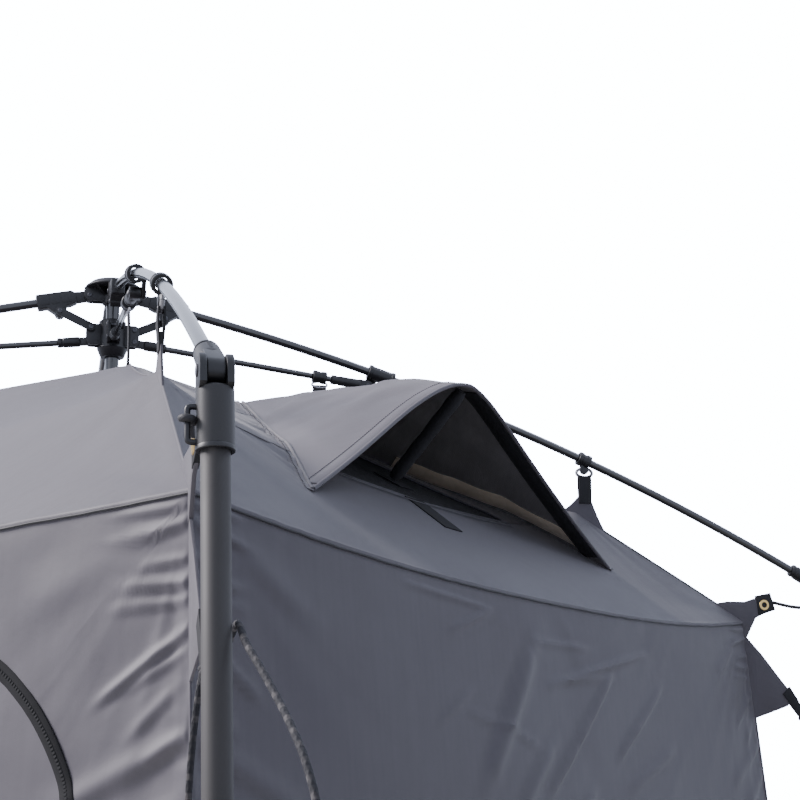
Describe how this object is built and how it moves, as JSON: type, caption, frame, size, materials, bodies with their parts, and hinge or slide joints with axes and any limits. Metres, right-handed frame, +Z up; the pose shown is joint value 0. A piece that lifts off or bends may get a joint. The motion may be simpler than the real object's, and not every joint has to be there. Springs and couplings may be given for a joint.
{
  "type": "shower tent",
  "caption": "Upright shower tent: a square fabric cabin with a zipped door and a roof vent, hung inside a folding umbrella-hub frame on telescopic legs with guy lines.",
  "frame": {"origin": "on the floor, straight under the hub, in the middle of the four feet", "axes": "+Z up; -Y is the front wall with the door; +X is the right wall, under the roof vent"},
  "size_m": [2.2042, 1.893, 2.267],
  "materials": {
    "black_plastic": "satin moulded",
    "black_rod": "glossy glass fibre",
    "grey_metal": "satin coated tube",
    "grey_fabric": "woven, coated",
    "black_mesh": "fine mesh",
    "black_webbing": "webbing",
    "guy_cord": "braided with light flecks",
    "steel": "plated wire"
  },
  "bodies": {
    "hub": {"upper_hub": "black_plastic", "hub_post": "black_rod"},
    "runner": {"lower_hub": "black_plastic"},
    "rib_front_right": {"rib_arm_front_right": "black_plastic", "rib_rod_front_right": "black_rod", "roof_front_right": "grey_fabric"},
    "collar_front_right": {"rib_collar_front_right": "black_plastic"},
    "stretcher_front_right": {"stretcher_front_right": "black_rod"},
    "link_front_right": {"hub_link_front_right": "black_plastic"},
    "leg_front_right": {"knuckle_front_right": "black_plastic", "leg_upper_front_right": "grey_metal", "wall_front_right": "grey_fabric", "loose_guy_rope": "guy_cord"},
    "lower_leg_front_right": {"leg_lower_front_right": "grey_metal"},
    "rib_back_right": {"rib_arm_back_right": "black_plastic", "rib_rod_back_right": "black_rod", "roof_back_right": "grey_fabric", "vent_hood": "grey_fabric", "vent_mesh": "black_mesh", "vent_prop": "black_webbing"},
    "collar_back_right": {"rib_collar_back_right": "black_plastic"},
    "stretcher_back_right": {"stretcher_back_right": "black_rod"},
    "link_back_right": {"hub_link_back_right": "black_plastic"},
    "leg_back_right": {"knuckle_back_right": "black_plastic", "leg_upper_back_right": "grey_metal", "wall_back_right": "grey_fabric", "guy_rope_back_right": "guy_cord", "ground_peg_back_right": "steel"},
    "lower_leg_back_right": {"leg_lower_back_right": "grey_metal"},
    "rib_back_left": {"rib_arm_back_left": "black_plastic", "rib_rod_back_left": "black_rod", "roof_back_left": "grey_fabric"},
    "collar_back_left": {"rib_collar_back_left": "black_plastic"},
    "stretcher_back_left": {"stretcher_back_left": "black_rod"},
    "link_back_left": {"hub_link_back_left": "black_plastic"},
    "leg_back_left": {"knuckle_back_left": "black_plastic", "leg_upper_back_left": "grey_metal", "wall_back_left": "grey_fabric", "guy_rope_back_left": "guy_cord", "ground_peg_back_left": "steel"},
    "lower_leg_back_left": {"leg_lower_back_left": "grey_metal"},
    "rib_front_left": {"rib_arm_front_left": "black_plastic", "rib_rod_front_left": "black_rod", "roof_front_left": "grey_fabric"},
    "collar_front_left": {"rib_collar_front_left": "black_plastic"},
    "stretcher_front_left": {"stretcher_front_left": "black_rod"},
    "link_front_left": {"hub_link_front_left": "black_plastic"},
    "leg_front_left": {"knuckle_front_left": "black_plastic", "leg_upper_front_left": "grey_metal", "wall_front_left": "grey_fabric", "guy_rope_front_left": "guy_cord", "ground_peg_front_left": "steel", "door_panel": "grey_fabric"},
    "lower_leg_front_left": {"leg_lower_front_left": "grey_metal"}
  },
  "joints": [
    {"name": "frame_fold", "type": "hinge", "parent": "hub", "child": "rib_front_right", "pos_m": [0.01838, -0.01838, 2.25], "axis": [0.7071, 0.7071, 0], "range_deg": [0, 67.68], "deforming": ["door_panel", "vent_hood", "vent_mesh", "vent_prop", "loose_guy_rope", "roof_front_right", "wall_front_right", "roof_back_right", "wall_back_right", "roof_back_left", "wall_back_left", "roof_front_left", "wall_front_left"]},
    {"name": "rib_turn_back_right", "type": "hinge", "parent": "hub", "child": "rib_back_right", "pos_m": [0.01838, 0.01838, 2.25], "axis": [-0.7071, 0.7071, 0], "range_deg": [0, 67.69]},
    {"name": "rib_turn_back_left", "type": "hinge", "parent": "hub", "child": "rib_back_left", "pos_m": [-0.01838, 0.01838, 2.25], "axis": [-0.7071, -0.7071, 0], "range_deg": [0, 67.69]},
    {"name": "rib_turn_front_left", "type": "hinge", "parent": "hub", "child": "rib_front_left", "pos_m": [-0.01838, -0.01838, 2.25], "axis": [0.7071, -0.7071, 0], "range_deg": [0, 67.69]},
    {"name": "runner_slide", "type": "slide", "parent": "hub", "child": "runner", "axis": [0, 0, -1], "range_m": [0, 0.0371]},
    {"name": "link_turn_front_right", "type": "hinge", "parent": "runner", "child": "link_front_right", "pos_m": [0.01697, -0.01697, 2.212], "axis": [-0.7071, -0.7071, 0], "range_deg": [0, 74.3]},
    {"name": "stretcher_turn_front_right", "type": "hinge", "parent": "runner", "child": "stretcher_front_right", "pos_m": [0.01697, -0.01697, 2.198], "axis": [0.7071, 0.7071, 0], "range_deg": [0, 76.37]},
    {"name": "collar_slide_front_right", "type": "slide", "parent": "rib_front_right", "child": "collar_front_right", "axis": [0.6725, -0.6725, -0.3089], "range_m": [0, 0.0796]},
    {"name": "leg_turn_front_right", "type": "hinge", "parent": "rib_front_right", "child": "leg_front_right", "pos_m": [0.62, -0.62, 1.935], "axis": [-0.7071, -0.7071, 0], "range_deg": [0, 62.12]},
    {"name": "leg_extend_front_right", "type": "slide", "parent": "leg_front_right", "child": "lower_leg_front_right", "axis": [-0.0687, 0.0687, 0.9953], "range_m": [0, 0.78]},
    {"name": "link_turn_back_right", "type": "hinge", "parent": "runner", "child": "link_back_right", "pos_m": [0.01697, 0.01697, 2.212], "axis": [0.7071, -0.7071, 0], "range_deg": [0, 74.3]},
    {"name": "stretcher_turn_back_right", "type": "hinge", "parent": "runner", "child": "stretcher_back_right", "pos_m": [0.01697, 0.01697, 2.198], "axis": [-0.7071, 0.7071, 0], "range_deg": [0, 76.37]},
    {"name": "collar_slide_back_right", "type": "slide", "parent": "rib_back_right", "child": "collar_back_right", "axis": [0.6725, 0.6725, -0.3089], "range_m": [0, 0.0796]},
    {"name": "leg_turn_back_right", "type": "hinge", "parent": "rib_back_right", "child": "leg_back_right", "pos_m": [0.62, 0.62, 1.935], "axis": [0.7071, -0.7071, 0], "range_deg": [0, 62.12]},
    {"name": "leg_extend_back_right", "type": "slide", "parent": "leg_back_right", "child": "lower_leg_back_right", "axis": [-0.0687, -0.0687, 0.9953], "range_m": [0, 0.78]},
    {"name": "link_turn_back_left", "type": "hinge", "parent": "runner", "child": "link_back_left", "pos_m": [-0.01697, 0.01697, 2.212], "axis": [0.7071, 0.7071, 0], "range_deg": [0, 74.3]},
    {"name": "stretcher_turn_back_left", "type": "hinge", "parent": "runner", "child": "stretcher_back_left", "pos_m": [-0.01697, 0.01697, 2.198], "axis": [-0.7071, -0.7071, 0], "range_deg": [0, 76.37]},
    {"name": "collar_slide_back_left", "type": "slide", "parent": "rib_back_left", "child": "collar_back_left", "axis": [-0.6725, 0.6725, -0.3089], "range_m": [0, 0.0796]},
    {"name": "leg_turn_back_left", "type": "hinge", "parent": "rib_back_left", "child": "leg_back_left", "pos_m": [-0.62, 0.62, 1.935], "axis": [0.7071, 0.7071, 0], "range_deg": [0, 62.12]},
    {"name": "leg_extend_back_left", "type": "slide", "parent": "leg_back_left", "child": "lower_leg_back_left", "axis": [0.0687, -0.0687, 0.9953], "range_m": [0, 0.78]},
    {"name": "link_turn_front_left", "type": "hinge", "parent": "runner", "child": "link_front_left", "pos_m": [-0.01697, -0.01697, 2.212], "axis": [-0.7071, 0.7071, 0], "range_deg": [0, 74.3]},
    {"name": "stretcher_turn_front_left", "type": "hinge", "parent": "runner", "child": "stretcher_front_left", "pos_m": [-0.01697, -0.01697, 2.198], "axis": [0.7071, -0.7071, 0], "range_deg": [0, 76.37]},
    {"name": "collar_slide_front_left", "type": "slide", "parent": "rib_front_left", "child": "collar_front_left", "axis": [-0.6725, -0.6725, -0.3089], "range_m": [0, 0.0796]},
    {"name": "leg_turn_front_left", "type": "hinge", "parent": "rib_front_left", "child": "leg_front_left", "pos_m": [-0.62, -0.62, 1.935], "axis": [-0.7071, 0.7071, 0], "range_deg": [0, 62.12]},
    {"name": "leg_extend_front_left", "type": "slide", "parent": "leg_front_left", "child": "lower_leg_front_left", "axis": [0.0687, 0.0687, 0.9953], "range_m": [0, 0.78]}
  ],
  "couplings": [
    {"joint": "rib_turn_back_right", "follows": "frame_fold", "ratio": 1},
    {"joint": "rib_turn_back_left", "follows": "frame_fold", "ratio": 1},
    {"joint": "rib_turn_front_left", "follows": "frame_fold", "ratio": 1},
    {"joint": "runner_slide", "follows": "frame_fold", "m_per_rad": 0.031337},
    {"joint": "link_turn_front_right", "follows": "frame_fold", "ratio": 1.0977},
    {"joint": "stretcher_turn_front_right", "follows": "frame_fold", "ratio": 1.1283},
    {"joint": "collar_slide_front_right", "follows": "frame_fold", "m_per_rad": 0.067351},
    {"joint": "leg_turn_front_right", "follows": "frame_fold", "ratio": 0.91766},
    {"joint": "link_turn_back_right", "follows": "frame_fold", "ratio": 1.0977},
    {"joint": "stretcher_turn_back_right", "follows": "frame_fold", "ratio": 1.1283},
    {"joint": "collar_slide_back_right", "follows": "frame_fold", "m_per_rad": 0.067351},
    {"joint": "leg_turn_back_right", "follows": "frame_fold", "ratio": 0.91766},
    {"joint": "link_turn_back_left", "follows": "frame_fold", "ratio": 1.0977},
    {"joint": "stretcher_turn_back_left", "follows": "frame_fold", "ratio": 1.1283},
    {"joint": "collar_slide_back_left", "follows": "frame_fold", "m_per_rad": 0.067351},
    {"joint": "leg_turn_back_left", "follows": "frame_fold", "ratio": 0.91766},
    {"joint": "link_turn_front_left", "follows": "frame_fold", "ratio": 1.0977},
    {"joint": "stretcher_turn_front_left", "follows": "frame_fold", "ratio": 1.1283},
    {"joint": "collar_slide_front_left", "follows": "frame_fold", "m_per_rad": 0.067351},
    {"joint": "leg_turn_front_left", "follows": "frame_fold", "ratio": 0.91766}
  ]
}
